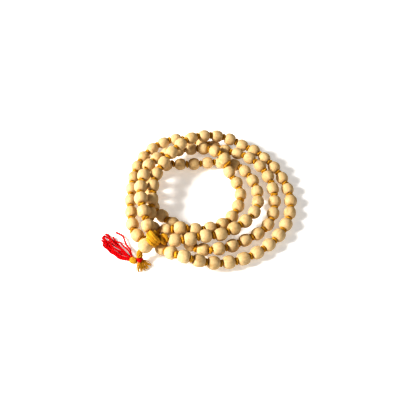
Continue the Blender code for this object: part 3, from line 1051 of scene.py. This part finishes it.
class MALA_OT_beads(bpy.types.Operator):
    """Turns the 108 beads, each with its own size, grain and faults"""

    bl_idname = "mala.beads"
    bl_label = "Beads"

    def execute(self, context):
        sizes = context.scene.mala_sizes
        rng = np.random.default_rng(108)
        for number in range(1, BEAD_COUNT + 1):
            body, node = node_of(number)
            lifted = number <= LIFTED_RIGHT[1] or number >= LIFTED_LEFT[0]
            largest = LARGEST_LIFTED if lifted else LARGEST_LAID
            diameter = BEAD_DIAMETER * (largest - sizes.bead_variation * rng.random())
            length = BEAD_LENGTH * (1.02 - 0.03 * rng.random())
            turned_bead(
                f"turned_bead_{number:03d}", STRAND.centres[number - 1],
                STRAND.axes[number - 1], diameter, length, rng, sizes.bead_flats, body, node,
            )
        return {"FINISHED"}


class MALA_OT_guru_bead(bpy.types.Operator):
    """Turns the larger guru bead that closes the strand"""

    bl_idname = "mala.guru_bead"
    bl_label = "Guru bead"

    def execute(self, context):
        rng = np.random.default_rng(7)
        turned_bead(
            "turned_guru_bead", STRAND.guru, STRAND.guru_axis, GURU_DIAMETER, GURU_LENGTH,
            rng, context.scene.mala_sizes.bead_flats, "guru_bead", "guru_bead",
        )
        return {"FINISHED"}


class MALA_OT_knots(bpy.types.Operator):
    """Ties the knot after every bead, one piece for each run of cord"""

    bl_idname = "mala.knots"
    bl_label = "Knots"

    def execute(self, context):
        sizes = context.scene.mala_sizes
        rng = np.random.default_rng(12)
        form = knot_form(sizes.knot_diameter, KNOT_GAP, sizes.knot_cord)
        runs = [
            (f"section_knots_{order:02d}", *ends, "pile", f"strand_section_{order:02d}")
            for order, ends in enumerate(SECTIONS, 1)
        ]
        runs += [
            ("outer_turn_knots", *OUTER_TURN, "pile", "outer_turn_cord"),
            ("right_knots", *LIFTED_RIGHT, "guru_stretch", "guru_cord_right"),
            # The wrap follows the last bead, which has no knot after it.
            ("left_knots", LIFTED_LEFT[0], BEAD_COUNT - 1, "guru_stretch", "guru_cord_left"),
        ]
        for name, first, last, body, node in runs:
            shape = Shape()
            for number in range(first, last + 1):
                turn, wide = rng.random() * 2 * math.pi, 0.94 + 0.10 * rng.random()
                if number in BENDING_KNOTS:
                    wide *= BENDING_SHARE
                add_knot(shape, form, *STRAND.gap(number), turn, wide)
            shape.piece(name, "yellow_cotton", body, node)
        return {"FINISHED"}


class MALA_OT_wrap(bpy.types.Operator):
    """Winds the soft cord above the guru bead, ties the big knot and lays the neck"""

    bl_idname = "mala.wrap"
    bl_label = "Wrap, big knot and neck"

    def execute(self, context):
        def soft(shape, line, thick, closed=False):
            """Adds soft cord, five loose plies laid side by side."""
            bands = dict(plies=5, relief=0.10, pitch=SOFT_PITCH)
            shape.add(*tube(line, thick / 2, sides=25, closed=closed, **bands))

        wrap = Shape()
        axis = -STRAND.guru_axis
        centre = STRAND.binding + axis * WRAP_SHIFT
        for lean, reach, turns, rise, start, thick in WRAP_WINDINGS_MM:
            leaning = unit(axis + lean * across(axis)[1])
            line = coil(centre, leaning, reach * MM, turns, rise * MM, start)
            soft(wrap, line, thick * MM)
        core = [centre + axis * t * WRAP_CORE_HALF for t in (-1, 0, 1)]
        wrap.add(*tube(core, WRAP_CORE_RADIUS, sides=16))
        wrap.piece("guru_wrap", "soft_cotton", "guru_stretch", "guru_binding")

        knot = Shape()
        axis = unit(STRAND.face(1, -1) - STRAND.big_knot)
        line = torus_knot(*BIG_KNOT_RING, 90) @ np.stack((*across(axis), axis))
        soft(knot, STRAND.big_knot + line, BIG_KNOT_CORD, closed=True)
        knot.piece("big_knot", "soft_cotton", "guru_stretch", "guru_cord_right")

        neck = Shape()
        mouth = STRAND.guru + STRAND.guru_axis * GURU_LENGTH / 2
        start = mouth - STRAND.guru_axis * NECK_START
        tie = STRAND.place(TIE_MM) + (0.0, 0.0, TIE_MOUTH)
        line = smooth([start, mouth, *STRAND.place(NECK_MM), tie], 14)
        spread = np.interp(np.linspace(0, 1, len(line)), *NECK_SPREAD_MM) * MM
        for ply in twisted(line, spread, NECK_CORDS, NECK_PITCH):
            neck.add(*tube(ply, NECK_CORD_RADIUS, sides=9, plies=3, relief=0.1))
        neck.piece("neck_cords", "soft_cotton", "guru_stretch", "tassel_neck")
        return {"FINISHED"}


class MALA_PT_panel(bpy.types.Panel):
    """Sizes, colours and the steps that make the mala"""

    bl_idname = "MALA_PT_panel"
    bl_label = "Mala"
    bl_space_type = "VIEW_3D"
    bl_region_type = "UI"
    bl_category = "Mala"

    def draw(self, context):
        for group in (context.scene.mala_sizes, context.scene.mala_colours):
            box = self.layout.box()
            for name in group.__annotations__:
                box.prop(group, name)
        for operator in OPERATORS:
            self.layout.operator(operator.bl_idname)


OPERATORS = (
    MALA_OT_stage,
    MALA_OT_cords,
    MALA_OT_tassel,
    MALA_OT_tie,
    MALA_OT_beads,
    MALA_OT_guru_bead,
    MALA_OT_knots,
    MALA_OT_wrap,
)
CLASSES = (MalaSizes, MalaColours, *OPERATORS, MALA_PT_panel)
STRAND = Strand()


def register():
    for cls in CLASSES:
        bpy.utils.register_class(cls)
    bpy.types.Scene.mala_sizes = bpy.props.PointerProperty(type=MalaSizes)
    bpy.types.Scene.mala_colours = bpy.props.PointerProperty(type=MalaColours)


def unregister():
    del bpy.types.Scene.mala_colours
    del bpy.types.Scene.mala_sizes
    for cls in reversed(CLASSES):
        bpy.utils.unregister_class(cls)


def main():
    register()
    bpy.ops.mala.stage()
    bpy.ops.mala.cords()
    bpy.ops.mala.tassel()
    bpy.ops.mala.tie()
    bpy.ops.mala.beads()
    bpy.ops.mala.guru_bead()
    bpy.ops.mala.knots()
    bpy.ops.mala.wrap()


if __name__ == "__main__":
    main()
